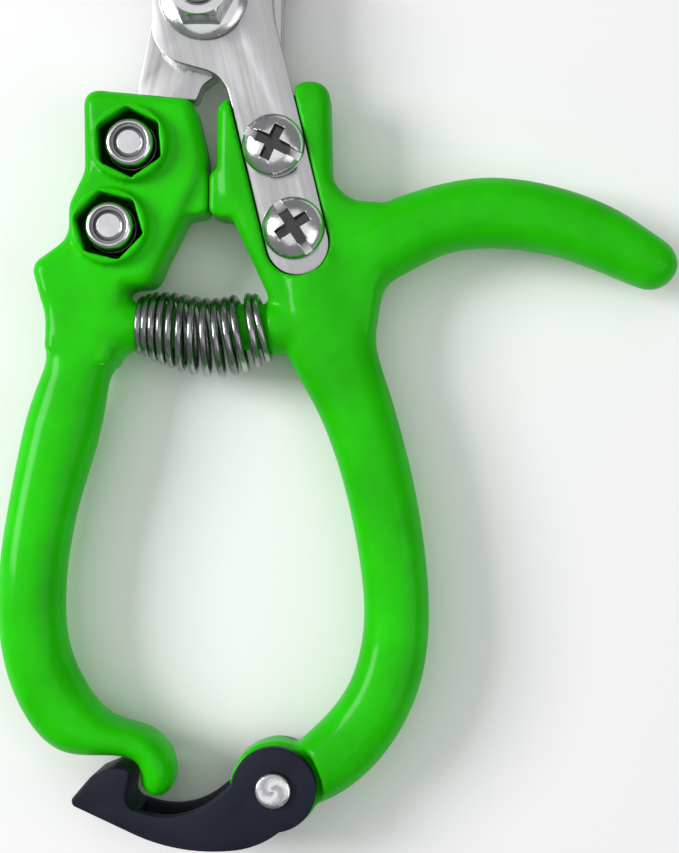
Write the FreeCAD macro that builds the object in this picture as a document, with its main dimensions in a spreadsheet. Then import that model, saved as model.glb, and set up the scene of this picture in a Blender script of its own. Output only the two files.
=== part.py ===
import FreeCAD, Part
import math
import os
import re
from FreeCAD import Placement, Rotation, Vector

# Bypass pruner with dipped handles, a finger hook and a swinging end latch, closed and latched.
# It lies on its back: X to the right, Y towards the blades, Z up to the front face.
# The origin is on the pivot axis, at the height of the pivot bolt's head, where the tool rests.

os.makedirs("parts", exist_ok=True)
doc = FreeCAD.newDocument("bypass_pruner")
sizes = doc.addObject("Spreadsheet::Sheet", "Sizes")

dimensions = {
    # heights of the layers above the resting plane
    "rear_blade_back": 4.0,
    "rear_blade_front": 7.9,
    "front_blade_back": 8.1,
    "front_blade_front": 11.5,
    "middle_height": 8.0,
    "left_head_back": 2.9,
    "left_head_front": 12.9,
    "right_head_back": 2.9,
    "right_head_front": 12.3,
    "front_boss_rim": 15.0,
    "rear_boss_rim": 1.0,
    "left_nut_seat": 9.8,
    "right_nut_seat": 6.2,
    # handles
    "bar_thickness": 10.6,
    "coat_thickness": 0.9,
    "bar_coat_thickness": 1.5,
    "edge_rounding": 2.2,
    "small_rounding": 0.8,
    "peg_diameter": 7.4,
    "shoulder_diameter": 9.2,
    "peg_height": -52.6,
    "tang_slot_width": 10.5,
    "stop_thickness": 7.0,
    # fasteners
    "screw_upper_across": 11.3,
    "screw_upper_along": -24.1,
    "screw_lower_across": 14.5,
    "screw_lower_along": -37.3,
    "screw_diameter": 4.9,
    "screw_hole": 5.0,
    "screw_length": 10.4,
    "screw_head_diameter": 10.0,
    "screw_head_height": 3.4,
    "slot_width": 1.2,
    "cross_width": 1.5,
    "cross_length": 6.0,
    "recess_depth": 1.9,
    "slot_depth": 1.4,
    "nut_across_flats": 8.0,
    "nut_hex_height": 2.4,
    "nut_height": 5.0,
    "nut_collar_diameter": 7.7,
    "insert_diameter": 5.9,
    "insert_height": 1.3,
    "insert_drop": 0.1,
    "pocket_across_flats": 9.8,
    "boss_diameter": 12.2,
    # pivot
    "pivot_diameter": 6.0,
    "pivot_bore": 6.1,
    "pivot_head_across_flats": 10.0,
    "pivot_nut_across_flats": 10.0,
    "pivot_nut_height": 6.0,
    "flange_diameter": 14.2,
    "flange_height": 1.3,
    "pivot_tip": 18.3,
    "head_chamfer": 0.7,
    "blade_nut_gap": 0.1,
    # latch
    "latch_back": 2.4,
    "latch_front": 13.6,
    "latch_wall": 2.0,
    "latch_ear_radius": 6.8,
    "lug_radius": 7.2,
    "lug_thickness": 5.8,
    "shoulder_cut_radius": 7.6,
    "rivet_diameter": 4.0,
    "rivet_bore": 4.1,
    "rivet_head_diameter": 5.8,
    "rivet_head_height": 1.0,
    "rivet_across": 11.4,
    "rivet_along": -126.7,
    # spring
    "spring_wire": 1.2,
    "spring_mean_radius": 4.9,
    "spring_turns": 13,
    "spring_start": -10.7,
    "spring_length": 19.2,
}
for row, (alias, value) in enumerate(dimensions.items(), start=1):
    sizes.set("A%d" % row, alias)
    sizes.set("B%d" % row, str(value))
    sizes.setAlias("B%d" % row, alias)
doc.recompute()


def size(alias):
    return dimensions[alias]


def bind(item, prop, expression):
    """Bind a property to the sheet; every word of the expression is an alias."""
    bound = re.sub(r"[a-z]+(?:_[a-z]+)+", lambda word: "Sizes." + word.group(0), expression)
    item.setExpression(prop, bound)


# ---- outlines ---------------------------------------------------------------------------------

def outlineCurves(points):
    """Closed outline from (x, y, radius) corners; a third value of "via" makes an arc's middle point."""
    count = len(points)
    starts, ends, corners = {}, {}, []
    for i, (x, y, radius) in enumerate(points):
        here = Vector(x, y, 0)
        starts[i] = ends[i] = here
        if radius == "via" or radius == 0:
            continue
        back = (Vector(points[i - 1][0], points[i - 1][1], 0) - here).normalize()
        ahead = (Vector(points[(i + 1) % count][0], points[(i + 1) % count][1], 0) - here).normalize()
        half = back.getAngle(ahead) / 2
        reach = radius / math.tan(half)
        middle = here + (back + ahead).normalize() * (radius / math.sin(half) - radius)
        ends[i] = here + back * reach
        starts[i] = here + ahead * reach
        corners.append(Part.Arc(ends[i], middle, starts[i]))
    curves = list(corners)
    for i in range(count):
        following = (i + 1) % count
        if points[following][2] == "via":
            beyond = (i + 2) % count
            curves.append(Part.Arc(starts[i], starts[following], ends[beyond]))
        elif points[i][2] != "via" and (ends[following] - starts[i]).Length > 1e-6:
            curves.append(Part.LineSegment(starts[i], ends[following]))
    return curves


def insetOutline(points, distance):
    """The same corners moved inwards, for an outline listed clockwise with no arcs in it."""
    moved = []
    for i, (x, y, radius) in enumerate(points):
        here = Vector(x, y, 0)
        before = (here - Vector(points[i - 1][0], points[i - 1][1], 0)).normalize()
        following = points[(i + 1) % len(points)]
        after = (Vector(following[0], following[1], 0) - here).normalize()
        inBefore = Vector(before.y, -before.x, 0)
        inAfter = Vector(after.y, -after.x, 0)
        corner = here + (inBefore + inAfter) * (distance / (1 + inBefore.dot(inAfter)))
        convex = before.cross(after).z < 0
        moved.append((corner.x, corner.y, max(radius - distance, 0.4) if convex else radius + distance))
    return moved


def hexagonCurves(acrossFlats, turn=0.0):
    reach = acrossFlats / math.sqrt(3)
    angles = [math.radians(turn + 60 * i) for i in range(6)]
    tips = [Vector(reach * math.cos(angle), reach * math.sin(angle), 0) for angle in angles]
    return [Part.LineSegment(tips[i], tips[(i + 1) % 6]) for i in range(6)]


def ovalCurve(halfWidth, halfThickness):
    """A slightly squared oval: a superellipse through sixteen points."""
    squareness = 2 / 2.25
    points = []
    for i in range(16):
        angle = math.radians(22.5 * i)
        across = math.copysign(abs(math.cos(angle)) ** squareness, math.cos(angle))
        upward = math.copysign(abs(math.sin(angle)) ** squareness, math.sin(angle))
        points.append(Vector(halfWidth * across, halfThickness * upward, 0))
    curve = Part.BSplineCurve()
    curve.interpolate(Points=points, PeriodicFlag=True)
    return curve


# ---- PartDesign helpers -----------------------------------------------------------------------

def settle(feature):
    """Recompute, and stop if the feature failed."""
    doc.recompute()
    if "Invalid" in feature.State or "Error" in feature.State or feature.Shape.isNull():
        raise RuntimeError("%s failed: %s" % (feature.Name, feature.getStatusString()))
    return feature


def newBody(label):
    body = doc.addObject("PartDesign::Body", label)
    body.Label = label
    return body


def plane(body, role):
    return next(item for item in body.Origin.OriginFeatures if item.Role == role)


def newSketch(body, name, curves, height=None, role="XY_Plane"):
    sketch = body.newObject("Sketcher::SketchObject", name)
    sketch.AttachmentSupport = [(plane(body, role), "")]
    sketch.MapMode = "FlatFace"
    for curve in curves:
        sketch.addGeometry(curve, False)
    if height is not None:
        bind(sketch, "AttachmentOffset.Base.z", height)
    return sketch


def pad(body, name, curves, low, high):
    """Material between the heights low and high."""
    sketch = newSketch(body, name + "_outline", curves, low)
    feature = body.newObject("PartDesign::Pad", name)
    feature.Profile = sketch
    bind(feature, "Length", "(%s) - (%s)" % (high, low))
    return settle(feature)


def pocket(body, name, curves, low, high):
    """A hollow between the heights low and high; stops if it removes nothing."""
    before = body.Shape.Volume
    sketch = newSketch(body, name + "_outline", curves, high)
    feature = body.newObject("PartDesign::Pocket", name)
    feature.Profile = sketch
    bind(feature, "Length", "(%s) - (%s)" % (high, low))
    settle(feature)
    if body.Shape.Volume > before - 1e-3:
        raise RuntimeError(name + " removes nothing")
    return feature


def rectangle(halfAcross, halfAlong):
    corners = [Vector(-halfAcross, -halfAlong, 0), Vector(halfAcross, -halfAlong, 0),
               Vector(halfAcross, halfAlong, 0), Vector(-halfAcross, halfAlong, 0)]
    return [Part.LineSegment(corners[i], corners[(i + 1) % 4]) for i in range(4)]


def disc(across, along, diameter):
    return [Part.Circle(Vector(across, along, 0), Vector(0, 0, 1), diameter / 2)]


def turned(body, name, profile, cut=False):
    """Revolve a profile of (radius, height) points about the body's own Z axis."""
    points = [Vector(radius, height, 0) for radius, height in profile]
    lines = [Part.LineSegment(points[i], points[(i + 1) % len(points)]) for i in range(len(points))]
    sketch = newSketch(body, name + "_profile", lines, role="XZ_Plane")
    feature = body.newObject("PartDesign::Groove" if cut else "PartDesign::Revolution", name)
    feature.Profile = sketch
    feature.ReferenceAxis = (sketch, ["V_Axis"])
    feature.Angle = 360
    return settle(feature)


def dress(body, kind, name, chosen, radiusCell):
    """Fillet or chamfer the edges of the body's last feature for which chosen(edge) is true."""
    base = body.Tip
    edges = ["Edge%d" % (i + 1) for i, edge in enumerate(base.Shape.Edges) if chosen(edge)]
    feature = body.newObject("PartDesign::" + kind, name)
    feature.Base = (base, edges)
    bind(feature, "Radius" if kind == "Fillet" else "Size", radiusCell)
    return settle(feature)


def flatAt(*heights):
    """Chooses edges that lie flat at one of the given heights."""
    def chosen(edge):
        box = edge.BoundBox
        return box.ZLength < 1e-4 and any(abs(box.ZMin - height) < 1e-4 for height in heights)
    return chosen


def place(body, across, along, height=None, turn=0.0, upsideDown=False):
    tilt = Rotation(Vector(1, 0, 0), 180) if upsideDown else Rotation()
    body.Placement = Placement(Vector(0, 0, 0), Rotation(Vector(0, 0, 1), turn) * tilt)
    bind(body, "Placement.Base.x", across)
    bind(body, "Placement.Base.y", along)
    if height is not None:
        bind(body, "Placement.Base.z", height)


def loft(body, name, stations, inset=0.0):
    """An oval bar through stations of (x, y, half width, half thickness) in the middle plane."""
    sketches = []
    for i, (x, y, halfWidth, halfThickness) in enumerate(stations):
        before = stations[max(i - 1, 0)]
        after = stations[min(i + 1, len(stations) - 1)]
        heading = math.degrees(math.atan2(after[1] - before[1], after[0] - before[0]))
        oval = ovalCurve(halfWidth - inset, halfThickness - inset)
        sketch = newSketch(body, "%s_%02d" % (name, i + 1), [oval], role="YZ_Plane")
        sketch.AttachmentOffset = Placement(Vector(y, 0, x), Rotation(Vector(0, 1, 0), heading))
        bind(sketch, "AttachmentOffset.Base.y", "middle_height")
        sketches.append(sketch)
    feature = body.newObject("PartDesign::AdditiveLoft", name)
    feature.Profile = sketches[0]
    feature.Sections = sketches[1:]
    return settle(feature)


# ---- handles ----------------------------------------------------------------------------------

halfBar = size("bar_thickness") / 2
coat = size("coat_thickness")
upperScrew = (size("screw_upper_across"), size("screw_upper_along"))
lowerScrew = (size("screw_lower_across"), size("screw_lower_along"))
rivetAt = (size("rivet_across"), size("rivet_along"))

leftHandle = {
    "side": -1,
    "bars": {
        "bar": [(-17.8, -48.5, 3.8, 4.0), (-20.3, -57.5, 4.9, 4.5), (-22.2, -65.2, 5.9, halfBar),
                (-25.9, -79.5, 5.5, halfBar), (-28.2, -95.0, 5.3, halfBar), (-27.5, -105.1, 5.3, halfBar),
                (-25.0, -111.9, 5.4, halfBar), (-20.3, -117.4, 4.8, halfBar), (-14.5, -119.1, 3.0, halfBar),
                (-9.7, -120.6, 2.8, 5.0), (-7.7, -123.8, 2.9, 4.8), (-7.9, -126.4, 2.6, 4.2),
                (-8.4, -128.1, 1.3, 2.6)],
    },
    "head": [(-19.2, -14.8, 2.4), (-1.7, -16.4, 2.5), (0.9, -27.5, 9.0), (-6.2, -41.8, 9.0),
             (-8.1, -46.1, 2.4), (-12.4, -46.6, 1.0), (-14.0, -60.0, 3.0), (-23.0, -60.0, 3.0),
             (-25.9, -57.0, 3.0), (-25.5, -51.0, 6.0), (-27.6, -43.0, 2.3),
             (-21.6, -38.6, 4.0), (-21.6, -33.5, 4.0), (-19.0, -28.0, 5.0)],
    "stop": [(-4.6, -27.9, 1.0), (0.6, -27.9, 1.0), (0.6, -34.5, 1.2), (-5.4, -35.8, 1.0)],
    "peg": (-18.0, -11.7, -5.0),
}
rightHandle = {
    "side": 1,
    "bars": {
        "bar": [(14.0, -34.0, 5.5, 4.4), (18.6, -50.0, 7.6, halfBar), (23.1, -62.5, 6.3, halfBar),
                (27.4, -75.5, 5.6, halfBar), (30.3, -90.5, 5.35, halfBar), (30.8, -102.0, 5.3, halfBar),
                (28.1, -112.8, 5.45, halfBar), (23.8, -119.2, 5.6, halfBar), (18.9, -123.6, 5.4, halfBar),
                (15.4, -125.6, 5.0, 5.0)],
        "finger_hook": [(24.0, -42.5, 6.0, 4.5), (31.3, -37.9, 5.9, halfBar), (37.9, -35.3, 5.5, halfBar),
                        (44.4, -34.2, 5.6, halfBar), (52.6, -34.7, 5.5, halfBar), (59.2, -36.3, 5.3, 5.2),
                        (65.6, -38.9, 5.0, 5.0), (71.0, -41.8, 4.4, 4.5), (73.8, -43.3, 3.7, 3.8),
                        (75.1, -44.1, 2.5, 2.6), (75.7, -44.5, 1.1, 1.2)],
    },
    "head": [(2.2, -16.1, 2.3), (13.9, -16.3, 0.8), (14.5, -13.4, 2.5), (20.2, -13.5, 2.8),
             (20.6, -32.4, 5.5), (37.0, -33.2, 2.3), (39.0, -37.0, 2.3), (29.4, -42.0, 8.0),
             (27.0, -57.0, 2.5), (22.0, -60.0, 2.3), (14.5, -57.0, 2.3), (4.6, -35.6, 4.0),
             (1.9, -32.0, 4.0)],
    "stop": [(4.4, -27.9, 1.0), (4.4, -35.8, 1.0), (0.9, -34.6, 1.0), (0.9, -27.9, 1.0)],
    "peg": (20.0, 10.1, 4.4),
}


def tangSlot(side, width):
    """The channel that holds a blade's tang: straight walls, a round end, open at the top."""
    across = Vector(side * lowerScrew[0] - side * upperScrew[0], lowerScrew[1] - upperScrew[1], 0).normalize()
    normal = Vector(across.y, -across.x, 0) * (width / 2)
    lowerEnd = Vector(side * lowerScrew[0], lowerScrew[1], 0) + across * 2.4
    upperEnd = Vector(side * upperScrew[0], upperScrew[1], 0) - across * 16
    return [Part.LineSegment(upperEnd + normal, upperEnd - normal),
            Part.LineSegment(upperEnd - normal, lowerEnd - normal),
            Part.Arc(lowerEnd - normal, lowerEnd + across * (width / 2), lowerEnd + normal),
            Part.LineSegment(lowerEnd + normal, upperEnd + normal)]


def placed(curves, across, along):
    for curve in curves:
        curve.translate(Vector(across, along, 0))
    return curves


def springPeg(body, root, shoulder, tip, shoulderRadius, pegRadius):
    """A stepped round peg along X, at the spring's height, that the spring's end turns sit on."""
    lead = math.copysign(0.8, tip - root)
    profile = [(root, 0), (root, shoulderRadius), (shoulder, shoulderRadius), (shoulder, pegRadius),
               (tip - lead, pegRadius), (tip, pegRadius - 0.8), (tip, 0)]
    corners = [Vector(across, radius, 0) for across, radius in profile]
    lines = [Part.LineSegment(corners[i], corners[(i + 1) % len(corners)]) for i in range(len(corners))]
    sketch = newSketch(body, "spring_peg_profile", lines, "middle_height")
    bind(sketch, "AttachmentOffset.Base.y", "peg_height")
    feature = body.newObject("PartDesign::Revolution", "spring_peg")
    feature.Profile = sketch
    feature.ReferenceAxis = (sketch, ["H_Axis"])
    feature.Angle = 360
    return settle(feature)


def handleSolid(name, handle, core):
    """The handle's outer form, or its metal core one coat thickness further in."""
    side = handle["side"]
    inset = coat if core else 0.0
    grow = " + coat_thickness" if core else ""
    shrink = " - coat_thickness" if core else ""
    left = side < 0
    back = "left_head_back" if left else "right_head_back"
    front = "left_head_front" if left else "right_head_front"
    body = newBody(name)
    pad(body, "head", outlineCurves(insetOutline(handle["head"], inset)), back + grow, front + shrink)
    if not core:
        dress(body, "Fillet", "head_rounding", flatAt(size(back), size(front)), "edge_rounding")
    barInset = size("bar_coat_thickness") if core else 0.0
    for barName, stations in handle["bars"].items():
        kept = [station for station in stations if min(station[2:]) > barInset + 1.0]
        loft(body, barName, kept, barInset)
    pad(body, "stop", outlineCurves(insetOutline(handle["stop"], inset)),
        "middle_height - stop_thickness / 2" + grow, "middle_height + stop_thickness / 2" + shrink)
    root, shoulder, tip = handle["peg"]
    springPeg(body, root, shoulder + side * inset, tip + side * inset,
              size("shoulder_diameter") / 2 - inset, size("peg_diameter") / 2 - inset)
    if not left:
        lugDisc = disc(rivetAt[0], rivetAt[1], 2 * (size("shoulder_cut_radius") + inset))
        top = "middle_height + bar_thickness"
        pocket(body, "front_ear_room", lugDisc, "middle_height + lug_thickness / 2" + shrink, top)
        pocket(body, "rear_ear_room", lugDisc, "middle_height - bar_thickness",
               "middle_height - lug_thickness / 2" + grow)
        pad(body, "latch_lug", disc(rivetAt[0], rivetAt[1], 2 * (size("lug_radius") - inset)),
            "middle_height - lug_thickness / 2" + grow, "middle_height + lug_thickness / 2" + shrink)
        pocket(body, "rivet_bore", disc(rivetAt[0], rivetAt[1], size("rivet_bore") + (0 if core else 0.1)),
               "latch_back", "latch_front")
    for hole, (across, along) in (("upper", upperScrew), ("lower", lowerScrew)):
        spot = (side * across, along)
        if not core:
            low = front + " - edge_rounding" if left else "rear_boss_rim"
            high = "front_boss_rim" if left else back + " + edge_rounding"
            pad(body, hole + "_boss", disc(spot[0], spot[1], size("boss_diameter")), low, high)
            rim = size("front_boss_rim") if left else size("rear_boss_rim")
            dress(body, "Fillet", hole + "_boss_rounding", flatAt(rim), "small_rounding")
    for hole, (across, along), turn in (("upper", upperScrew, 34.0), ("lower", lowerScrew, 46.0)):
        spot = (side * across, along)
        hexagon = placed(hexagonCurves(size("pocket_across_flats") + 2 * inset, turn), spot[0], spot[1])
        if left:
            pocket(body, hole + "_nut_pocket", hexagon, "left_nut_seat", "front_boss_rim")
        else:
            pocket(body, hole + "_nut_pocket", hexagon, "rear_boss_rim", "right_nut_seat")
        pocket(body, hole + "_screw_hole", disc(spot[0], spot[1], size("screw_hole") + (0 if core else 0.2)),
               "rear_boss_rim", "front_boss_rim")
    slot = tangSlot(side, size("tang_slot_width") + 2 * inset)
    if left:
        pocket(body, "tang_recess", slot, "rear_boss_rim", "rear_blade_front")
    else:
        pocket(body, "tang_recess", slot, "front_blade_back", "front_boss_rim")
    return body


for sideName, handle in (("left", leftHandle), ("right", rightHandle)):
    form = handleSolid(sideName + "_handle_form", handle, core=False)
    core = handleSolid(sideName + "_handle_core", handle, core=True)
    coating = doc.addObject("Part::Cut", sideName + "_handle_coating")
    coating.Base = form
    coating.Tool = core
    settle(coating)

# ---- blades -----------------------------------------------------------------------------------

cuttingBlade = [
    (21.1, -43.3, 4.95), (11.4, -45.7, 4.95), (3.4, -12.6, 5.5), (-8.3, -9.4, 6.0), (-8.0, 2.0, 0),
    (-8.6, 34.0, "via"), (3.2, 62.5, 0), (10.1, 36.0, "via"), (10.6, 9.0, 0), (11.2, -3.0, 20.0),
    (15.0, -18.0, 20.0),
]
counterBlade = [
    (-21.1, -43.3, 4.95), (-16.3, -23.6, 8.0), (-11.2, -13.8, 8.0), (-8.8, -2.5, 8.0), (-7.4, 7.0, 5.0),
    (2.6, 9.0, 0), (7.9, 36.0, "via"), (4.4, 61.5, 0), (14.8, 30.0, "via"), (12.4, 1.0, 0),
    (12.2, -10.5, 5.0), (2.2, -11.2, 2.0), (-0.7, -13.3, 2.5), (-1.7, -15.8, 0.8), (-4.5, -15.6, 0.6),
    (-6.3, -24.0, 8.0),
    (-11.4, -45.7, 4.95),
]


bevelOverrun = 1.0


def groundBevel(blade, heel, via, tip, face, slope, width, depth):
    """Grind a conical bevel along a circular edge; slope is (sideways, upwards) from the face's corner."""
    arc = Part.Arc(Vector(*heel, 0), Vector(*via, 0), Vector(*tip, 0)).toShape().Curve
    angles = [math.degrees(math.atan2(y - arc.Center.y, x - arc.Center.x)) for x, y in (heel, tip)]
    span = max(angles) - min(angles) + 2 * bevelOverrun
    sideways, upwards = slope
    inner = arc.Radius - sideways * width
    outer = arc.Radius + sideways * width
    beyond = size(face) + upwards * 2
    deep = size(face) - upwards * 2 * depth
    profile = [(inner, size(face)), (outer, deep), (outer, beyond), (inner, beyond)]
    corners = [Vector(radius, height, 0) for radius, height in profile]
    lines = [Part.LineSegment(corners[i], corners[(i + 1) % 4]) for i in range(4)]
    sketch = newSketch(blade, "ground_bevel_profile", lines, role="XZ_Plane")
    middle = sum(angles) / 2 + bevelOverrun
    facing = Rotation(Vector(0, 1, 0), middle)
    sketch.AttachmentOffset = Placement(Vector(arc.Center.x, 0, -arc.Center.y), facing)
    before = blade.Shape.Volume
    groove = blade.newObject("PartDesign::Groove", "ground_bevel")
    groove.Profile = sketch
    groove.ReferenceAxis = (sketch, ["V_Axis"])
    groove.Midplane = True
    groove.Angle = span
    settle(groove)
    if blade.Shape.Volume > before - 1:
        raise RuntimeError("the bevel of %s removes nothing" % blade.Label)


blades = (
    ("cutting_blade", cuttingBlade, "front_blade_back", "front_blade_front", 1,
     ((10.6, 9.0), (10.1, 36.0), (3.2, 62.5), "front_blade_front", (1, 1), 5.0, 2.9)),
    ("counter_blade", counterBlade, "rear_blade_back", "rear_blade_front", -1,
     ((2.6, 9.0), (7.9, 36.0), (4.4, 61.5), "rear_blade_back", (-1, -1), 2.0, 2.4)),
)
for name, outline, low, high, side, bevel in blades:
    blade = newBody(name)
    pad(blade, "plate", outlineCurves(outline), low, high)
    groundBevel(blade, *bevel)
    pocket(blade, "pivot_bore", disc(0, 0, size("pivot_bore")), low, high)
    for hole, (across, along) in (("upper", upperScrew), ("lower", lowerScrew)):
        pocket(blade, hole + "_hole", disc(side * across, along, size("screw_hole")), low, high)

# ---- screws and nuts that hold the tangs ------------------------------------------------------


def panHeadScrew(name):
    """Domed head above z = 0 with a cross and a slot, plain shank below, chamfered tip."""
    radius = size("screw_diameter") / 2
    headRadius = size("screw_head_diameter") / 2
    headHeight = size("screw_head_height")
    screw = newBody(name)
    turned(screw, "shank_and_head", [
        (0, headHeight), (0.45 * headRadius, headHeight - 0.25), (0.75 * headRadius, headHeight - 0.9),
        (0.93 * headRadius, headHeight - 1.7), (headRadius, 0.9), (headRadius, 0.3), (headRadius - 0.3, 0),
        (radius, 0), (radius, -size("screw_length") + 0.6), (radius - 0.5, -size("screw_length")),
        (0, -size("screw_length"))])
    half = size("screw_head_diameter") / 2 + 1
    pocket(screw, "slot", rectangle(half, size("slot_width") / 2), "screw_head_height - slot_depth",
           "screw_head_height")
    arm = size("cross_length") / 2
    low = "screw_head_height - recess_depth"
    pocket(screw, "cross_along", rectangle(arm, size("cross_width") / 2), low, "screw_head_height")
    pocket(screw, "cross_across", rectangle(size("cross_width") / 2, arm), low, "screw_head_height")
    return screw


def lockNut(name):
    """Hexagon nut standing on z = 0, with a round collar that holds a plastic ring."""
    nut = newBody(name)
    pad(nut, "hexagon", hexagonCurves(size("nut_across_flats")), "0", "nut_hex_height")
    pad(nut, "collar", disc(0, 0, size("nut_collar_diameter")), "nut_hex_height", "nut_height")
    dress(nut, "Fillet", "collar_rounding", flatAt(size("nut_height")), "small_rounding")
    pocket(nut, "bore", disc(0, 0, size("screw_hole")), "0", "nut_height")
    pocket(nut, "ring_seat", disc(0, 0, size("insert_diameter")), "nut_height - insert_height", "nut_height")
    return nut


def lockRing(name):
    """The plastic ring in the nut's collar."""
    ring = newBody(name)
    pad(ring, "ring", disc(0, 0, size("insert_diameter")), "nut_height - insert_height",
        "nut_height - insert_drop")
    pocket(ring, "bore", disc(0, 0, size("screw_hole")), "nut_height - insert_height", "nut_height")
    return ring


screwTurns = {
    ("left", "upper"): 20.0, ("left", "lower"): 75.0,
    ("right", "upper"): -26.0, ("right", "lower"): -57.0,
}
for sideName, sign in (("left", "-"), ("right", "")):
    onLeft = sideName == "left"
    for hole in ("upper", "lower"):
        across = "%sscrew_%s_across" % (sign, hole)
        along = "screw_%s_along" % hole
        label = "%s_%s" % (sideName, hole)
        screw = panHeadScrew(label + "_screw")
        place(screw, across, along, "rear_blade_back" if onLeft else "front_blade_front",
              screwTurns[sideName, hole], upsideDown=onLeft)
        for piece in (lockNut(label + "_nut"), lockRing(label + "_nut_ring")):
            place(piece, across, along, "left_nut_seat" if onLeft else "right_nut_seat",
                  34.0 if hole == "upper" else 46.0, upsideDown=not onLeft)

# ---- pivot ------------------------------------------------------------------------------------

pivotBolt = newBody("pivot_bolt")
pad(pivotBolt, "head", hexagonCurves(size("pivot_head_across_flats")), "0", "rear_blade_back")
dress(pivotBolt, "Chamfer", "head_edge", flatAt(0.0), "head_chamfer")
pad(pivotBolt, "shank", disc(0, 0, size("pivot_diameter")), "rear_blade_back", "pivot_tip")
dress(pivotBolt, "Chamfer", "tip_edge", flatAt(size("pivot_tip")), "head_chamfer")

pivotNut = newBody("pivot_flange_nut")
pad(pivotNut, "flange", disc(0, 0, size("flange_diameter")), "front_blade_front + blade_nut_gap",
    "front_blade_front + blade_nut_gap + flange_height")
pad(pivotNut, "hexagon", hexagonCurves(size("pivot_nut_across_flats")),
    "front_blade_front + blade_nut_gap + flange_height", "front_blade_front + pivot_nut_height")
dress(pivotNut, "Chamfer", "hexagon_edge",
      flatAt(size("front_blade_front") + size("pivot_nut_height")), "head_chamfer")
pocket(pivotNut, "bore", disc(0, 0, size("pivot_bore")), "front_blade_front",
       "front_blade_front + pivot_nut_height")

# ---- latch ------------------------------------------------------------------------------------

latchArm = [
    (-21.2, -128.8, 1.0), (-17.6, -124.6, 1.2), (-14.0, -123.1, 2.0), (-11.3, -123.5, 0.9),
    (-12.4, -129.3, 2.0), (-3.2, -132.3, 12.0), (4.2, -126.4, 8.0), (7.4, -121.4, 2.0),
    (12.0, -121.4, 2.0), (17.0, -128.0, 3.0), (11.0, -136.0, 14.0), (-4.0, -136.9, 30.0),
]
latchChannel = [
    (-9.6, -125.0, 0.5), (8.0, -115.0, 0.5), (26.0, -124.0, 0.5), (20.0, -140.0, 0.5), (4.5, -140.0, 0.5),
    (4.0, -134.0, 0.5), (-3.6, -134.2, 20.0), (-10.6, -132.2, 1.5),
]
latch = newBody("latch")
pad(latch, "arm", outlineCurves(latchArm), "latch_back", "latch_front")
pad(latch, "ears", disc(rivetAt[0], rivetAt[1], 2 * size("latch_ear_radius")), "latch_back", "latch_front")
pocket(latch, "channel", outlineCurves(latchChannel), "latch_back + latch_wall", "latch_front - latch_wall")
pocket(latch, "rivet_bore", disc(rivetAt[0], rivetAt[1], size("rivet_bore")), "latch_back", "latch_front")

rivet = newBody("latch_rivet")
rivetHead = size("rivet_head_diameter") / 2
rivetShank = size("rivet_diameter") / 2
headLift = 0.1
headEdge = 0.5
backHead = size("latch_back") - size("rivet_head_height")
frontHead = size("latch_front") + size("rivet_head_height")
turned(rivet, "rivet", [
    (0, backHead), (rivetHead - headEdge, backHead), (rivetHead, backHead + headEdge),
    (rivetHead, size("latch_back") - headLift), (rivetShank, size("latch_back") - headLift),
    (rivetShank, size("latch_front") + headLift), (rivetHead, size("latch_front") + headLift),
    (rivetHead, frontHead - headEdge), (rivetHead - headEdge, frontHead), (0, frontHead)])
place(rivet, "rivet_across", "rivet_along")

# ---- return spring ----------------------------------------------------------------------------

spring = newBody("return_spring")
section = disc(size("spring_mean_radius"), 0, size("spring_wire"))
wire = newSketch(spring, "wire_section", section, role="XZ_Plane")
coil = spring.newObject("PartDesign::AdditiveHelix", "coil")
coil.Profile = wire
coil.ReferenceAxis = (wire, ["V_Axis"])
coil.Mode = "height-turns-angle"
bind(coil, "Height", "spring_length")
bind(coil, "Turns", "spring_turns")
settle(coil)
spring.Placement = Placement(Vector(0, 0, 0), Rotation(Vector(0, 1, 0), 90))
bind(spring, "Placement.Base.x", "spring_start")
bind(spring, "Placement.Base.y", "peg_height")
bind(spring, "Placement.Base.z", "middle_height")

# ---- export -----------------------------------------------------------------------------------

doc.recompute()
unsound = [item.Name for item in doc.Objects if "Invalid" in item.State or "Error" in item.State]
if unsound:
    raise RuntimeError("failed objects: " + ", ".join(unsound))
for item in doc.Objects:
    isPart = item.TypeId in ("PartDesign::Body", "Part::Cut") and not item.Label.endswith("_form")
    if not isPart:
        continue
    if item.Shape.isNull() or not item.Shape.isValid():
        raise RuntimeError("bad shape: " + item.Label)
    item.Shape.exportStep("parts/%s.step" % item.Label)
    box = item.Shape.BoundBox
    print("%-24s %d solid %9.1f mm3  x %.1f..%.1f  y %.1f..%.1f  z %.1f..%.1f" % (
        item.Label, len(item.Shape.Solids), item.Shape.Volume,
        box.XMin, box.XMax, box.YMin, box.YMax, box.ZMin, box.ZMax))
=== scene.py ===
import bpy
import bmesh
import math
import numpy as np
from mathutils import Matrix, Vector


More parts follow.
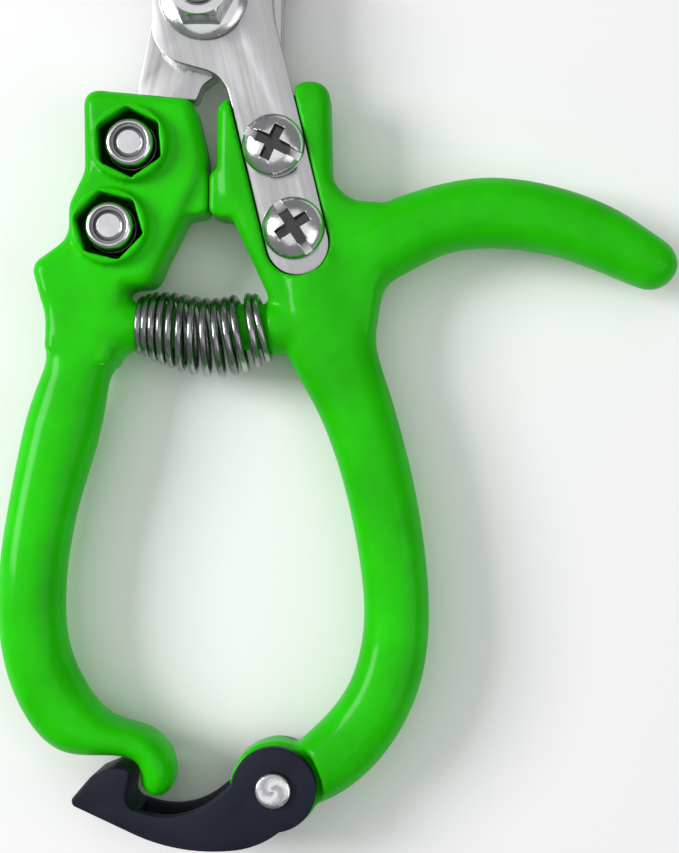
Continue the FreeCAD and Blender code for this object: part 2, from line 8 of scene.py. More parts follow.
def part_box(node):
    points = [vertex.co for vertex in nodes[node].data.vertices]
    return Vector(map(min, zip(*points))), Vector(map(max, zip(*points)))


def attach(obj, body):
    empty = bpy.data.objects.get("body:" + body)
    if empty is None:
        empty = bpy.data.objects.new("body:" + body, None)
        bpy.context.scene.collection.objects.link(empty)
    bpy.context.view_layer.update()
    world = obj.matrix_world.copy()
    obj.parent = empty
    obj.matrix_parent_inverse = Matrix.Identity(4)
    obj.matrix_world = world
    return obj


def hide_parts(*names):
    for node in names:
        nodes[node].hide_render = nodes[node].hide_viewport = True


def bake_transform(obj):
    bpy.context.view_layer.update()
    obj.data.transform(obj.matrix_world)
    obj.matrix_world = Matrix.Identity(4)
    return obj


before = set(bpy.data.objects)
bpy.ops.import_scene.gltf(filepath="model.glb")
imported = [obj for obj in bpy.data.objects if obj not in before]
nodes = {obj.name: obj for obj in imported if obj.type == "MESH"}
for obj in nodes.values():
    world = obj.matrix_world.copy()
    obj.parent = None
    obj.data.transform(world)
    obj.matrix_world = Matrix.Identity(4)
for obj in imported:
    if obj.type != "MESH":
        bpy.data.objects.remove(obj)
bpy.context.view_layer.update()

mm = 0.001
scene = bpy.context.scene


class Wired:
    # one output socket; arithmetic on it adds Math nodes
    def __init__(self, tree, socket):
        self.tree = tree
        self.socket = socket

    def math(self, operation, *others):
        return self.tree.add("ShaderNodeMath", {"operation": operation}, dict(enumerate((self,) + others)))

    def __add__(self, other):
        return self.math("ADD", other)

    def __mul__(self, other):
        return self.math("MULTIPLY", other)

    def __sub__(self, other):
        return self.math("SUBTRACT", other)

    def __truediv__(self, other):
        return self.math("DIVIDE", other)

    def __pow__(self, other):
        return self.math("POWER", other)

    def __rsub__(self, other):
        return self.tree.add("ShaderNodeMath", {"operation": "SUBTRACT"}, {0: other, 1: self})

    __radd__ = __add__
    __rmul__ = __mul__

    def sin(self):
        return self.math("SINE")

    def clamped(self, low=0.0, high=1.0):
        return self.math("MAXIMUM", low).math("MINIMUM", high)


class Tree:
    # a node tree to which nodes are added with their settings and inputs
    def __init__(self, nodeTree):
        self.nodeTree = nodeTree

    def add(self, kind, settings=None, values=None, output=0):
        node = self.nodeTree.nodes.new(kind)
        for name, value in (settings or {}).items():
            if name == "stops":
                self.setStops(node, value)
            else:
                setattr(node, name, value)
        for name, value in (values or {}).items():
            if isinstance(value, Wired):
                self.nodeTree.links.new(value.socket, node.inputs[name])
            else:
                node.inputs[name].default_value = value
        return Wired(self, node.outputs[output]) if node.outputs else node

    def setStops(self, node, stops):
        ramp = node.color_ramp
        while len(ramp.elements) < len(stops):
            ramp.elements.new(0.5)
        for element, (position, color) in zip(ramp.elements, stops):
            element.position = position
            element.color = (*color, 1.0)


def newMaterial(name, constants):
    # a Principled material; constants are set on its own sockets
    material = bpy.data.materials.new(name)
    material.use_nodes = True
    material.node_tree.nodes.clear()
    tree = Tree(material.node_tree)
    shader = material.node_tree.nodes.new("ShaderNodeBsdfPrincipled")
    for socket, value in constants.items():
        shader.inputs[socket].default_value = value
    tree.add("ShaderNodeOutputMaterial", None, {"Surface": Wired(tree, shader.outputs[0])})

    def feed(socket, value):
        tree.nodeTree.links.new(value.socket, shader.inputs[socket])
    return material, tree, feed


def objectPoint(tree, scale=(1, 1, 1), turn=0.0, center=(0, 0, 0)):
    # object coordinates moved to center, turned about Z, then stretched
    point = tree.add("ShaderNodeTexCoord", output="Object")
    moved = tree.add("ShaderNodeVectorMath", {"operation": "SUBTRACT"}, {0: point, 1: center})
    turned = tree.add("ShaderNodeVectorRotate", {"rotation_type": "Z_AXIS"},
                      {"Vector": moved, "Angle": math.radians(turn)})
    return tree.add("ShaderNodeVectorMath", {"operation": "MULTIPLY"}, {0: turned, 1: scale})


def noise(tree, point, scale, detail=3.0, roughness=0.5):
    return tree.add("ShaderNodeTexNoise", None,
                    {"Vector": point, "Scale": scale, "Detail": detail, "Roughness": roughness})


def blendColors(tree, factor, first, second):
    return tree.add("ShaderNodeMix", {"data_type": "RGBA"},
                    {0: factor, 6: (*first, 1.0), 7: (*second, 1.0)}, output=2)


def shadedBy(tree, color, name, depth):
    # the colour darkened into painted shade where the mesh attribute rises towards one
    amount = tree.add("ShaderNodeAttribute", {"attribute_name": name}, output="Fac")
    return tree.add("ShaderNodeMix", {"data_type": "RGBA"},
                    {0: amount * depth, 6: color, 7: (0, 0, 0, 1)}, output=2)


def bump(tree, height, distance, strength=1.0):
    return tree.add("ShaderNodeBump", None,
                    {"Height": height, "Distance": distance, "Strength": strength})


vinyl = {
    "color": (0.018, 0.620, 0.000), "deepColor": (0.012, 0.350, 0.000), "roughness": 0.42, "gloss": 0.15,
    "unevenness": 0.00010, "grain": 0.000012, "cloudScale": 45.0, "dimpleScale": 420.0, "grainScale": 2200.0,
}


def vinylMaterial():
    material, tree, feed = newMaterial("greenVinyl", {
        "IOR": 1.5, "Coat Weight": vinyl["gloss"], "Coat Roughness": 0.09, "Specular IOR Level": 0.05})
    point = objectPoint(tree)
    cloudy = noise(tree, point, vinyl["cloudScale"], 4.0, 0.6)
    green = blendColors(tree, ((cloudy - 0.35) * 2.2).clamped(), vinyl["color"], vinyl["deepColor"])
    # painted shade darkens the green deep in the nut pockets, by the mesh attribute
    feed("Base Color", shadedBy(tree, green, "soot", 0.85))
    fine = noise(tree, point, vinyl["grainScale"], 2.0)
    dimples = noise(tree, point, vinyl["dimpleScale"], 2.0)
    feed("Roughness", (vinyl["roughness"] + (fine - 0.5) * 0.10 + (cloudy - 0.5) * 0.12).clamped(0.12, 0.6))
    uneven = dimples * vinyl["unevenness"] + fine * vinyl["grain"]
    feed("Normal", bump(tree, uneven, 1.0, 0.55))
    return material


bladeSteel = {
    "color": (0.66, 0.66, 0.665), "darkColor": (0.46, 0.46, 0.47), "roughness": 0.30, "grindDepth": 0.000012,
    "grindStretch": (1500.0, 40.0, 900.0), "cuttingTurn": -13.6, "counterTurn": 13.6,
}


def bladeMaterial(name, turn):
    # fine grinding lines that run along the blade
    material, tree, feed = newMaterial(name, {"Metallic": 1.0})
    lines = noise(tree, objectPoint(tree, bladeSteel["grindStretch"], turn), 1.0, 5.0, 0.6)
    patches = noise(tree, objectPoint(tree), 110.0, 3.0)
    shade = ((lines - 0.3) * 1.2 + (patches - 0.5) * 0.5).clamped()
    feed("Base Color", blendColors(tree, shade, bladeSteel["darkColor"], bladeSteel["color"]))
    uneven = (lines - 0.5) * 0.25 + (patches - 0.5) * 0.15
    feed("Roughness", (bladeSteel["roughness"] + uneven).clamped(0.15, 0.7))
    feed("Normal", bump(tree, lines, bladeSteel["grindDepth"], 0.6))
    return material


def platedMaterial(name, color, darkColor, roughness, grain):
    material, tree, feed = newMaterial(name, {"Metallic": 1.0})
    point = objectPoint(tree)
    broad = noise(tree, point, 260.0, 3.0)
    fine = noise(tree, point, 2600.0, 3.0)
    metal = blendColors(tree, ((broad - 0.3) * 1.6).clamped(), darkColor, color)
    # painted shade darkens the metal in the screw recesses and down the nut's hex, by the mesh attribute
    feed("Base Color", shadedBy(tree, metal, "soot", 0.9))
    feed("Roughness", (roughness + (fine - 0.5) * 0.18 + (broad - 0.5) * 0.12).clamped(0.05, 0.7))
    feed("Normal", bump(tree, fine + broad, grain, 0.5))
    return material


rivetSwirl = {"turns": 2600.0, "color": (0.86, 0.86, 0.87), "darkColor": (0.45, 0.45, 0.47), "depth": 0.00008}


def rivetMaterial(center):
    # rings left by the spinning tool, drawn out into a spiral about the rivet's axis
    material, tree, feed = newMaterial("spunRivet", {"Metallic": 1.0})
    point = objectPoint(tree, center=center)
    flat = tree.add("ShaderNodeVectorMath", {"operation": "MULTIPLY"}, {0: point, 1: (1, 1, 0)})
    radius = tree.add("ShaderNodeVectorMath", {"operation": "LENGTH"}, {0: flat}, output="Value")
    parts = tree.add("ShaderNodeSeparateXYZ", None, {0: point})
    along = Wired(tree, parts.socket.node.outputs[1])
    angle = along.math("ARCTAN2", parts)
    rough = noise(tree, point, 1500.0, 3.0)
    swirl = ((radius * rivetSwirl["turns"] + angle * 2.0 + rough * 3.0).sin() + 1.0) * 0.5
    feed("Base Color", blendColors(tree, swirl, rivetSwirl["darkColor"], rivetSwirl["color"]))
    feed("Roughness", (0.24 + (rough - 0.5) * 0.2).clamped(0.1, 0.5))
    feed("Normal", bump(tree, swirl, rivetSwirl["depth"], 0.6))
    return material


latchPlastic = {"color": (0.0055, 0.0075, 0.018), "wornColor": (0.012, 0.015, 0.030), "roughness": 0.50}


def latchMaterial():
    material, tree, feed = newMaterial("latchPlastic", {"IOR": 1.46, "Specular IOR Level": 0.25})
    point = objectPoint(tree)
    broad = noise(tree, point, 180.0, 4.0)
    fine = noise(tree, point, 3800.0, 2.0)
    feed("Base Color", blendColors(tree, ((broad - 0.35) * 2.0).clamped(), latchPlastic["color"],
                                   latchPlastic["wornColor"]))
    uneven = (broad - 0.5) * 0.2 + (fine - 0.5) * 0.1
    feed("Roughness", (latchPlastic["roughness"] + uneven).clamped(0.3, 0.8))
    feed("Normal", bump(tree, fine + broad * 2.0, 0.00002, 0.6))
    return material


def nylonMaterial():
    material, tree, feed = newMaterial("lockRingNylon", {"IOR": 1.5})
    fine = noise(tree, objectPoint(tree), 2500.0, 3.0)
    feed("Base Color", blendColors(tree, fine, (0.16, 0.165, 0.175), (0.26, 0.27, 0.28)))
    feed("Roughness", (0.42 + (fine - 0.5) * 0.2).clamped())
    feed("Normal", bump(tree, fine, 0.00002, 0.5))
    return material


def floorMaterial():
    material, tree, feed = newMaterial("paleFloor", {"Specular IOR Level": 0.1})
    soft = noise(tree, objectPoint(tree), 4.0, 2.0)
    feed("Base Color", blendColors(tree, soft, (0.94, 0.94, 0.94), (0.96, 0.96, 0.96)))
    feed("Roughness", 0.75 + soft * 0.1)
    return material


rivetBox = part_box("latch_rivet")
rivetCenter = (Vector(rivetBox[0]) + Vector(rivetBox[1])) / 2
materials = {
    "green_vinyl": vinylMaterial(),
    "cutting": bladeMaterial("cuttingBladeSteel", bladeSteel["cuttingTurn"]),
    "counter": bladeMaterial("counterBladeSteel", bladeSteel["counterTurn"]),
    "zinc_plate": platedMaterial("zincPlate", (0.88, 0.88, 0.89), (0.62, 0.62, 0.64), 0.20, 0.00003),
    "spring_steel": platedMaterial("springSteel", (0.62, 0.62, 0.63), (0.17, 0.17, 0.18), 0.22, 0.00003),
    "cast_core": platedMaterial("castCore", (0.70, 0.70, 0.71), (0.50, 0.50, 0.52), 0.45, 0.00006),
    "rivet_aluminium": rivetMaterial(rivetCenter),
    "latch_plastic": latchMaterial(),
    "lock_ring_nylon": nylonMaterial(),
}
print("materials ready")


def newPiece(name, bm, material):
    mesh = bpy.data.meshes.new(name)
    bm.to_mesh(mesh)
    bm.free()
    piece = bpy.data.objects.new(name, mesh)
    scene.collection.objects.link(piece)
    piece.data.materials.append(material)
    return piece


def settled(piece):
    # the piece with its modifiers applied, as a plain mesh
    bpy.context.view_layer.update()
    evaluated = piece.evaluated_get(bpy.context.evaluated_depsgraph_get())
    mesh = bpy.data.meshes.new_from_object(evaluated)
    mesh.name = piece.name
    piece.modifiers.clear()
    piece.data = mesh
    return piece


def weldedCopy(names):
    # the CAD nodes' triangles, joined into one welded mesh
    bm = bmesh.new()
    for name in names:
        bm.from_mesh(nodes[name].data)
    bmesh.ops.remove_doubles(bm, verts=bm.verts, dist=1e-6)
    return bm


# angles in degrees: what counts as flat, which edges are broken, and which stay sharp in shading
softening = {"flat": 1.0, "broken": 28, "sharp": 32}
turning = {"steps": 96, "broken": 35, "sharp": 40}


def softened(name, node, width, material, segments=2):
    # a CAD node's shape with its sharp edges broken
    bm = weldedCopy([node])
    bmesh.ops.dissolve_limit(bm, angle_limit=math.radians(softening["flat"]), verts=bm.verts, edges=bm.edges)
    piece = newPiece(name, bm, material)
    bevel = piece.modifiers.new("brokenEdges", "BEVEL")
    bevel.width = width
    bevel.segments = segments
    bevel.limit_method = "ANGLE"
    bevel.angle_limit = math.radians(softening["broken"])
    bevel.use_clamp_overlap = True
    settled(piece)
    return smoothed(piece, softening["sharp"])


def paintShade(piece, amounts):
    # how dark the painted shade is at each vertex, from 0 to 1
    attribute = piece.data.attributes.new("soot", "FLOAT", "POINT")
    attribute.data.foreach_set("value", np.clip(amounts, 0.0, 1.0).astype(np.float32))


def vertexPlaces(mesh):
    places = np.empty(len(mesh.vertices) * 3)
    mesh.vertices.foreach_get("co", places)
    return places.reshape(-1, 3)


def lathe(profile):
    # a turned surface from (radius, height) points, with a third value where a hexagon of that width cuts it;
    # a profile that ends on the axis closes there, any other closes on itself
    bm = bmesh.new()
    rings = []
    steps = turning["steps"]
    for radius, height, *flats in profile:
        ring = []
        for step in range(steps if radius > 0 else 1):
            angle = 2 * math.pi * step / steps
            reach = radius
            if flats:
                fromFlat = angle % (math.pi / 3) - math.pi / 6
                reach = min(radius, flats[0] / 2 / math.cos(fromFlat))
            ring.append(bm.verts.new((reach * math.cos(angle), reach * math.sin(angle), height)))
        rings.append(ring)
    following = rings[1:] if profile[0][0] == 0 else rings[1:] + rings[:1]
    for low, high in zip(rings, following):
        for step in range(steps):
            beyond = (step + 1) % steps
            corners = [low[step % len(low)], low[beyond % len(low)],
                       high[beyond % len(high)], high[step % len(high)]]
            bm.faces.new(list(dict.fromkeys(corners)))
    bmesh.ops.recalc_face_normals(bm, faces=bm.faces)
    return bm


def turnedPiece(name, profile, width, material):
    piece = newPiece(name, lathe(profile), material)
    bevel = piece.modifiers.new("brokenEdges", "BEVEL")
    bevel.width = width
    bevel.segments = 2
    bevel.angle_limit = math.radians(turning["broken"])
    settled(piece)
    return piece


def smoothed(piece, sharp=turning["sharp"]):
    piece.data.shade_smooth()
    piece.data.set_sharp_from_angle(angle=math.radians(sharp))
    return piece


def finish(piece, body, slot, *replaced):
    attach(piece, body)
    if replaced:
        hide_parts(*replaced)
    print("piece", piece.name, len(piece.data.polygons), "faces")


handleSkin = {
    "voxel": 0.40 * mm, "crispSteps": 8, "softSteps": 300, "pocketReach": 6.6 * mm, "slotReach": 6.2 * mm,
    "softFade": 1.5 * mm, "slotAbove": 16.0 * mm, "slotBelow": 2.4 * mm,
    "pocketRadius": 5.8 * mm, "pocketDepth": 5.8 * mm, "shadeStart": 1.0 * mm, "shadeFade": 2.0 * mm,
    "joins": {"left": (-18.9, -59.0), "right": (28.4, -51.5)}, "joinReach": 6.5 * mm, "joinSteps": 100,
    "sinkLimit": 0.35 * mm,
}


def relaxed(points, edges, weight, steps, pushes=(0.5, -0.51)):
    # smoothing in pairs of steps, in and back out, so that the thickness is kept
    count = len(points)
    first, second = edges[:, 0], edges[:, 1]
    degree = np.bincount(edges.ravel(), minlength=count)
    for step in range(steps):
        push = pushes[step % 2]
        moved = points.copy()
        for axis in range(3):
            near = (np.bincount(first, points[second, axis], count)
                    + np.bincount(second, points[first, axis], count)) / degree
            moved[:, axis] += push * weight * (near - points[:, axis])
        points = moved
    return points


def distanceToLine(points, start, end):
    start, end = np.array(start[:2]), np.array(end[:2])
    span = end - start
    share = np.clip(((points[:, :2] - start) @ span) / (span @ span), 0.0, 1.0)
    return np.linalg.norm(points[:, :2] - start - share[:, None] * span, axis=1)


def centerOf(node):
    low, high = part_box(node)
    return (Vector(low) + Vector(high)) / 2


def skinHandle(side):
    bm = weldedCopy([side + "_handle_coating", side + "_handle_core"])
    piece = newPiece(side + "_handle_skin", bm, materials["green_vinyl"])
    remesh = piece.modifiers.new("voxels", "REMESH")
    remesh.mode = "VOXEL"
    remesh.voxel_size = handleSkin["voxel"]
    settled(piece)
    mesh = piece.data
    points = vertexPlaces(mesh)
    edges = np.empty(len(mesh.edges) * 2, dtype=np.int64)
    mesh.edges.foreach_get("vertices", edges)
    edges = edges.reshape(-1, 2)
    upper, lower = centerOf(side + "_upper_nut"), centerOf(side + "_lower_nut")
    direction = (lower - upper).normalized()
    nearest = np.minimum(np.linalg.norm(points[:, :2] - np.array(upper[:2]), axis=1),
                         np.linalg.norm(points[:, :2] - np.array(lower[:2]), axis=1))
    slotDistance = distanceToLine(points, upper - direction * handleSkin["slotAbove"],
                                  lower + direction * handleSkin["slotBelow"])
    clear = np.minimum(nearest - handleSkin["pocketReach"], slotDistance - handleSkin["slotReach"])
    softness = np.clip(clear / handleSkin["softFade"], 0.0, 1.0)
    points = relaxed(points, edges, np.ones(len(points)), handleSkin["crispSteps"])
    points = relaxed(points, edges, softness, handleSkin["softSteps"])
    # the place where two of the casting's bars run into one another is rounded further
    away = np.linalg.norm(points[:, :2] - np.array(handleSkin["joins"][side]) * mm, axis=1)
    spread = np.clip(2.0 - away / handleSkin["joinReach"], 0.0, 1.0)
    rounded = relaxed(points, edges, spread, handleSkin["joinSteps"], (0.5, 0.5))
    mesh.vertices.foreach_set("co", points.ravel())
    mesh.update()
    normals = np.empty(len(points) * 3)
    mesh.vertices.foreach_get("normal", normals)
    normals = normals.reshape(-1, 3)
    # and never sinks so far that the core would show
    sunk = np.clip(((points - rounded) * normals).sum(axis=1) - handleSkin["sinkLimit"], 0.0, None)
    points = rounded + normals * sunk[:, None]
    mesh.vertices.foreach_set("co", points.ravel())
    mesh.update()
    mesh.shade_smooth()
    # painted shade on the pocket walls, darker the deeper they lie below the rim
    rim = points[:, 2].max() if side == "left" else points[:, 2].min()
    depth = np.abs(points[:, 2] - rim)
    inPocket = (nearest < handleSkin["pocketRadius"]) & (depth < handleSkin["pocketDepth"])
    paintShade(piece, np.where(inPocket, (depth - handleSkin["shadeStart"]) / handleSkin["shadeFade"], 0.0))
    finish(piece, side + "_side", "green_vinyl", side + "_handle_coating")
    nodes[side + "_handle_core"].data.materials[0] = materials["cast_core"]


for side in ("left", "right"):
    skinHandle(side)


edgeBreaks = {"blade": 0.28 * mm, "latch": 0.7 * mm}
finish(softened("cutting_blade_ground", "cutting_blade", edgeBreaks["blade"], materials["cutting"]),
       "right_side", "blade_steel", "cutting_blade")
finish(softened("counter_blade_ground", "counter_blade", edgeBreaks["blade"], materials["counter"]),
       "left_side", "blade_steel", "counter_blade")
finish(softened("latch_moulding", "latch", edgeBreaks["latch"], materials["latch_plastic"], 3),
       "latch_arm", "latch_plastic", "latch")

rivetShape = {
    "head": 2.9 * mm, "shank": 2.0 * mm, "headHeight": 0.9 * mm, "dish": 0.12 * mm, "broken": 0.06 * mm,
}


def latchRivet():
    low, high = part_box("latch_rivet")
    head, shank, thick, dish = (rivetShape[name] for name in ("head", "shank", "headHeight", "dish"))
    half = (high[2] - low[2]) / 2
    middle = (high[2] + low[2]) / 2
    upper = [(0, half - dish), (0.4 * head, half - dish), (0.75 * head, half),
             (0.92 * head, half - 0.15 * mm), (head, half - 0.5 * mm), (head, half - thick),
             (shank, half - thick)]
    profile = [(radius, middle - height) for radius, height in upper]
    profile += [(radius, middle + height) for radius, height in reversed(upper)]
    piece = turnedPiece("latch_rivet_spun", profile, rivetShape["broken"], materials["rivet_aluminium"])
    piece.data.transform(Matrix.Translation((rivetCenter.x, rivetCenter.y, 0)))
    finish(smoothed(piece), "right_side", "rivet_aluminium", "latch_rivet")


latchRivet()

pivotHardware = {
    "flats": 10.0 * mm, "flange": 7.1 * mm, "bore": 3.05 * mm, "shank": 3.0 * mm, "chamfer": 0.6 * mm,
    "pitch": 1.0 * mm, "threadDepth": 0.35 * mm, "headHeight": 4.0 * mm,
    "flangeRise": 5.9 * mm, "flangeHeight": 1.25 * mm, "nutBroken": 0.1 * mm, "boltBroken": 0.08 * mm,
}


def pivotPieces():
    shape = pivotHardware
    flats, chamfer = shape["flats"], shape["chamfer"]
    corner = flats / math.sqrt(3)
    low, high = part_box("pivot_flange_nut")
    height = high[2] - low[2]
    profile = [(shape["bore"], 0), (shape["flange"] - 0.1 * mm, 0), (shape["flange"], 0.25 * mm),
               (shape["flange"] - 0.1 * mm, 0.6 * mm), (shape["flangeRise"], shape["flangeHeight"]),
               (corner, shape["flangeHeight"] + 0.05 * mm, flats),
               (corner, height - chamfer, flats), (flats / 2 - 0.1 * mm, height, flats),
               (shape["bore"] + 0.5 * mm, height), (shape["bore"], height - 0.5 * mm)]
    nut = turnedPiece("pivot_nut_flanged", profile, shape["nutBroken"], materials["zinc_plate"])
    nut.data.transform(Matrix.Translation((0, 0, low[2])))
    finish(smoothed(nut), "left_side", "zinc_plate", "pivot_flange_nut")
    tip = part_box("pivot_bolt")[1][2]
    shank, head = shape["shank"], shape["headHeight"]
    profile = [(0, 0), (flats / 2 - 0.1 * mm, 0, flats), (corner, chamfer, flats), (corner, head, flats),
               (shank, head)]
    crest = high[2] - 2.5 * shape["pitch"]
    while crest < tip - 1.2 * shape["pitch"]:
        profile += [(shank, crest), (shank - shape["threadDepth"], crest + shape["pitch"] / 2)]
        crest += shape["pitch"]
    profile += [(shank, crest), (shank - 0.7 * mm, tip), (0, tip)]
    bolt = turnedPiece("pivot_bolt_plated", profile, shape["boltBroken"], materials["zinc_plate"])
    finish(smoothed(bolt), "left_side", "zinc_plate", "pivot_bolt")


pivotPieces()


panHead = {
    "radius": 5.0 * mm, "rim": 0.9 * mm, "dome": 2.5 * mm, "shank": 2.45 * mm, "length": 10.4 * mm,
    "slot": (11.0 * mm, 1.35 * mm, 1.9 * mm), "cross": (5.8 * mm, 1.75 * mm, 2.5 * mm),
    "edge": 0.3 * mm, "broken": 0.1 * mm, "shadeStart": 0.15 * mm, "shadeFade": 1.4 * mm,
    "turns": {"left_upper": 20, "left_lower": 75, "right_upper": -26, "right_lower": -57},
}


def recessCutter(top):
    # the slot across the head and the cross in its middle
    bm = bmesh.new()
    for (length, width, depth), turn in ((panHead["slot"], 0), (panHead["cross"], 0), (panHead["cross"], 90)):
        place = (Matrix.Rotation(math.radians(turn), 4, "Z") @ Matrix.Translation((0, 0, top))
                 @ Matrix.Diagonal((length, width, 2 * depth, 1)))
        bmesh.ops.create_cube(bm, size=1.0, matrix=place)
    cutter = newPiece("recessCutter", bm, materials["zinc_plate"])
    cutter.hide_render = True
    return cutter


def panScrew(hole):
    node = hole + "_screw"
    radius, rim, dome = panHead["radius"], panHead["rim"], panHead["dome"]
    arc = [math.radians(angle) for angle in range(0, 91, 9)]
    tip = -panHead["length"]
    edge = panHead["edge"]
    profile = [(radius * math.sin(angle), rim + dome * math.cos(angle)) for angle in arc]
    profile += [(radius, edge), (radius - edge, 0), (panHead["shank"], 0), (panHead["shank"], tip + 2 * edge),
                (panHead["shank"] - 2 * edge, tip), (0, tip)]
    piece = newPiece(node + "_turned", lathe(profile), materials["zinc_plate"])
    cutter = recessCutter(rim + dome)
    cut = piece.modifiers.new("recess", "BOOLEAN")
    cut.object = cutter
    cut.solver = "EXACT"
    cut.use_self = True
    bevel = piece.modifiers.new("brokenEdges", "BEVEL")
    bevel.width = panHead["broken"]
    bevel.segments = 2
    bevel.angle_limit = math.radians(turning["broken"])
    settled(piece)
    bpy.data.objects.remove(cutter)
    # painted shade in the slot and cross, darker the deeper they lie below the dome
    places = vertexPlaces(piece.data)
    reach = np.hypot(places[:, 0], places[:, 1]) / radius
    surface = rim + dome * np.sqrt(np.clip(1 - reach ** 2, 0, 1))
    depth = surface - places[:, 2]
    recessShade = (depth - panHead["shadeStart"]) / panHead["shadeFade"]
    paintShade(piece, np.where(places[:, 2] > 0.2 * mm, recessShade, 0.0))
    low, high = (Vector(corner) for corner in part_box(node))
    center = (low + high) / 2
    headUp = hole.startswith("right")
    seat = high.z - rim - dome if headUp else low.z + rim + dome
    flip = Matrix() if headUp else Matrix.Rotation(math.pi, 4, "X")
    turn = Matrix.Rotation(math.radians(panHead["turns"][hole]), 4, "Z")
    piece.data.transform(Matrix.Translation((center.x, center.y, seat)) @ turn @ flip)
    finish(smoothed(piece), hole.split("_")[0] + "_side", "zinc_plate", node)


collarNutShape = {
    "flats": 8.0 * mm, "hexHeight": 2.4 * mm, "height": 5.0 * mm, "collar": 3.85 * mm, "bore": 2.5 * mm,
    "seat": 2.95 * mm, "seatDepth": 1.3 * mm, "chamfer": 0.45 * mm, "ringDrop": 0.35 * mm,
    "broken": 0.06 * mm, "ringBroken": 0.08 * mm, "shadeStart": 1.3 * mm, "shadeFade": 1.0 * mm,
    "turns": {"upper": 34, "lower": 46},
}


def placedOnHole(piece, hole, node, nodeHeight):
    # stands the piece on the node's inner end, facing outwards
    low, high = (Vector(corner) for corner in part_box(node))
    center = (low + high) / 2
    onLeft = hole.startswith("left")
    foot = high.z - nodeHeight if onLeft else low.z + nodeHeight
    flip = Matrix() if onLeft else Matrix.Rotation(math.pi, 4, "X")
    turn = Matrix.Rotation(math.radians(collarNutShape["turns"][hole.split("_")[1]]), 4, "Z")
    piece.data.transform(Matrix.Translation((center.x, center.y, foot)) @ turn @ flip)
    return smoothed(piece)


def collarNut(hole):
    shape = collarNutShape
    flats, hexHeight, height, chamfer = shape["flats"], shape["hexHeight"], shape["height"], shape["chamfer"]
    corner = flats / math.sqrt(3)
    collar, bore, seat = shape["collar"], shape["bore"], shape["seat"]
    seatFloor = height - shape["seatDepth"]
    node, side = hole + "_nut", hole.split("_")[0] + "_side"
    profile = [(bore, 0), (flats / 2, 0), (corner, chamfer, flats), (corner, hexHeight - chamfer, flats),
               (flats / 2, hexHeight, flats), (collar, hexHeight), (collar, height - 0.9 * mm),
               (collar - 0.12 * mm, height - 0.45 * mm), (collar - 0.4 * mm, height - 0.12 * mm),
               (collar - 0.7 * mm, height), (seat, height - 0.05 * mm), (seat, seatFloor), (bore, seatFloor)]
    piece = turnedPiece(node + "_plated", profile, shape["broken"], materials["zinc_plate"])
    # painted shade on the nut, darker the further below its top, so the hex under the collar reads as shaded
    depth = height - vertexPlaces(piece.data)[:, 2]
    paintShade(piece, (depth - shape["shadeStart"]) / shape["shadeFade"] * 0.9)
    finish(placedOnHole(piece, hole, node, height), side, "zinc_plate", node)
    ringTop = height - shape["ringDrop"]
    ring = [(bore, seatFloor), (seat, seatFloor), (seat, ringTop), (bore, ringTop)]
    piece = turnedPiece(node + "_ring_pressed", ring, shape["ringBroken"], materials["lock_ring_nylon"])
    finish(placedOnHole(piece, hole, node, height), side, "lock_ring_nylon", node + "_ring")


for hole in panHead["turns"]:
    panScrew(hole)
    collarNut(hole)


springCoil = {
    "Turns": 13.0, "Wire Radius": 0.60 * mm, "Left Radius": 3.8 * mm, "Right Radius": 4.6 * mm,
    "Bulge": 1.7 * mm, "Sag": 1.8 * mm, "Fan": 2.6 * mm, "Gap": 1.3 * mm, "Length": 17.9 * mm,
    "Closed Ends": 0.22,
}


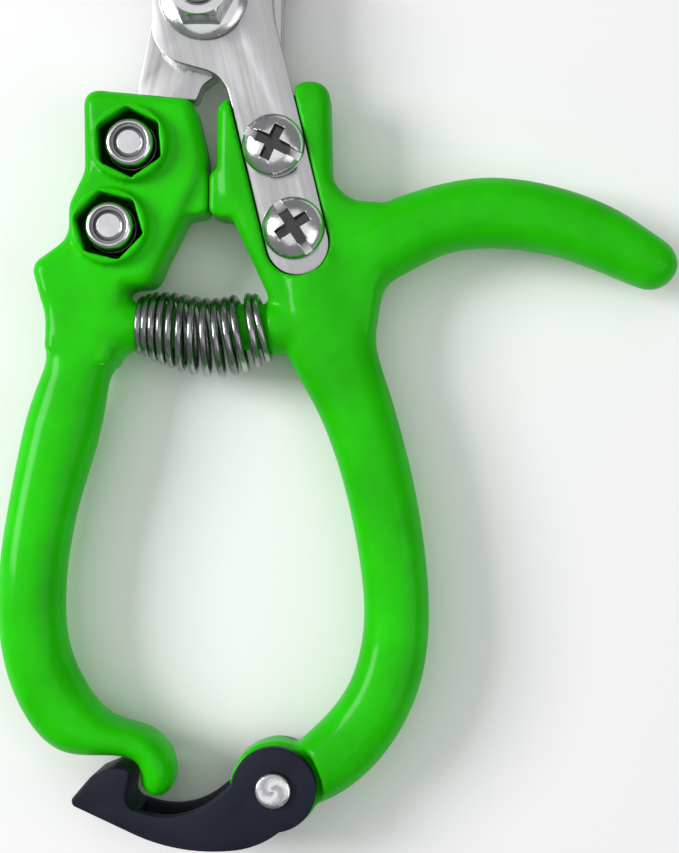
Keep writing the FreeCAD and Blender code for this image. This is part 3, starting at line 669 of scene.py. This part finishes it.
def springTree():
    nodeTree = bpy.data.node_groups.new("springCoil", "GeometryNodeTree")
    nodeTree.interface.new_socket("Geometry", in_out="INPUT", socket_type="NodeSocketGeometry")
    nodeTree.interface.new_socket("Geometry", in_out="OUTPUT", socket_type="NodeSocketGeometry")
    identifiers = {}
    for name, value in springCoil.items():
        item = nodeTree.interface.new_socket(name, in_out="INPUT", socket_type="NodeSocketFloat")
        item.default_value = value
        identifiers[name] = item.identifier
    item = nodeTree.interface.new_socket("Start", in_out="INPUT", socket_type="NodeSocketVector")
    identifiers["Start"] = item.identifier
    tree = Tree(nodeTree)
    given = nodeTree.nodes.new("NodeGroupInput")

    def value(name):
        return Wired(tree, given.outputs[name])

    def parts(vector):
        split = tree.add("ShaderNodeSeparateXYZ", None, {0: vector})
        return [Wired(tree, split.socket.node.outputs[axis]) for axis in range(3)]

    def eased(amount, low, high):
        return tree.add("ShaderNodeMapRange", {"interpolation_type": "SMOOTHSTEP"},
                        {"Value": amount, "From Min": low, "From Max": high})

    helix = tree.add("GeometryNodeCurveSpiral", None, {
        "Resolution": 36, "Rotations": value("Turns"), "Start Radius": 1.0, "End Radius": 1.0, "Height": 1.0})
    backward, upward, share = parts(tree.add("GeometryNodeInputPosition"))
    startX, startY, startZ = parts(value("Start"))
    radius = (value("Left Radius") * (1 - share) + value("Right Radius") * share
              + value("Bulge") * (share * math.pi).sin().clamped() ** 0.7)
    dip = (share ** 1.5 * math.pi).sin()
    # the lower half of each turn leans to the right, more so towards the right end
    lean = value("Fan") * eased(share, 0.4, 0.8) * (1 - upward) * 0.5
    along = share - (share * 2 * math.pi).sin() * value("Closed Ends") / (2 * math.pi)
    place = tree.add("ShaderNodeCombineXYZ", None, {
        0: startX + value("Length") * along + value("Gap") * eased(share, 0.82, 0.9) + lean,
        1: startY + upward * radius - value("Sag") * dip * dip,
        2: startZ - backward * radius})
    bent = tree.add("GeometryNodeSetPosition", None, {"Geometry": helix, "Position": place})
    section = tree.add("GeometryNodeCurvePrimitiveCircle", None,
                       {"Resolution": 12, "Radius": value("Wire Radius")})
    coil = tree.add("GeometryNodeCurveToMesh", None,
                    {"Curve": bent, "Profile Curve": section, "Fill Caps": True})
    smooth = tree.add("GeometryNodeSetShadeSmooth", None, {"Geometry": coil})
    solid = tree.add("GeometryNodeRealizeInstances", None, {"Geometry": smooth})
    painted = tree.add("GeometryNodeSetMaterial", None,
                       {"Geometry": solid, "Material": materials["spring_steel"]})
    tree.add("NodeGroupOutput", None, {"Geometry": painted})
    return nodeTree, identifiers


def makeSpring():
    low, high = (Vector(corner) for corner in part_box("return_spring"))
    middle = (low + high) / 2
    piece = newPiece("return_spring_coil", bmesh.new(), materials["spring_steel"])
    nodeTree, identifiers = springTree()
    modifier = piece.modifiers.new("coil", "NODES")
    modifier.node_group = nodeTree
    for name, value in springCoil.items():
        modifier[identifiers[name]] = value
    modifier[identifiers["Start"]] = (low.x + 0.4 * mm, middle.y, middle.z)
    settled(piece)
    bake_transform(piece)
    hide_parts("return_spring")
    print("piece", piece.name, len(piece.data.polygons), "faces")


makeSpring()


def areaLight(name, place, target, size, watts):
    light = bpy.data.lights.new(name, "AREA")
    light.shape = "RECTANGLE"
    light.size, light.size_y = size
    light.energy = watts
    lamp = bpy.data.objects.new(name, light)
    scene.collection.objects.link(lamp)
    lamp.location = place
    lamp.rotation_euler = (Vector(target) - Vector(place)).to_track_quat("-Z", "Y").to_euler()


floorMesh = bmesh.new()
bmesh.ops.create_grid(floorMesh, x_segments=1, y_segments=1, size=3.0)
floor = newPiece("floor", floorMesh, floorMaterial())
floorDrop = 0.2 * mm
floor.data.transform(Matrix.Translation((0, 0, -floorDrop)))

lit = (0.020, -0.060, 0.0)
areaLight("keyLight", (-0.75, 0.10, 0.55), lit, (0.40, 0.40), 7.0)
areaLight("fillLight", (0.60, -0.25, 0.55), lit, (0.50, 0.50), 1.0)
areaLight("topLight", (-0.05, 0.05, 1.0), lit, (1.3, 1.3), 3.6)

studio = {"color": (0.95, 0.96, 0.97, 1.0), "strength": 0.26}
world = bpy.data.worlds.new("paleStudio")
world.use_nodes = True
world.node_tree.nodes["Background"].inputs["Color"].default_value = studio["color"]
world.node_tree.nodes["Background"].inputs["Strength"].default_value = studio["strength"]
scene.world = world
scene.view_settings.view_transform = "Standard"

cameraSetup = {"place": (0.0339, -0.0786, 0.2355), "lens": 59.1, "sensor": 36.0, "shift": (-0.0885, 0.0709)}
camera = bpy.data.objects.new("camera", bpy.data.cameras.new("camera"))
scene.collection.objects.link(camera)
camera.location = cameraSetup["place"]
camera.data.lens = cameraSetup["lens"]
camera.data.sensor_width = cameraSetup["sensor"]
camera.data.shift_x, camera.data.shift_y = cameraSetup["shift"]
camera.data.clip_start = 0.01
scene.camera = camera

print("scene ready")
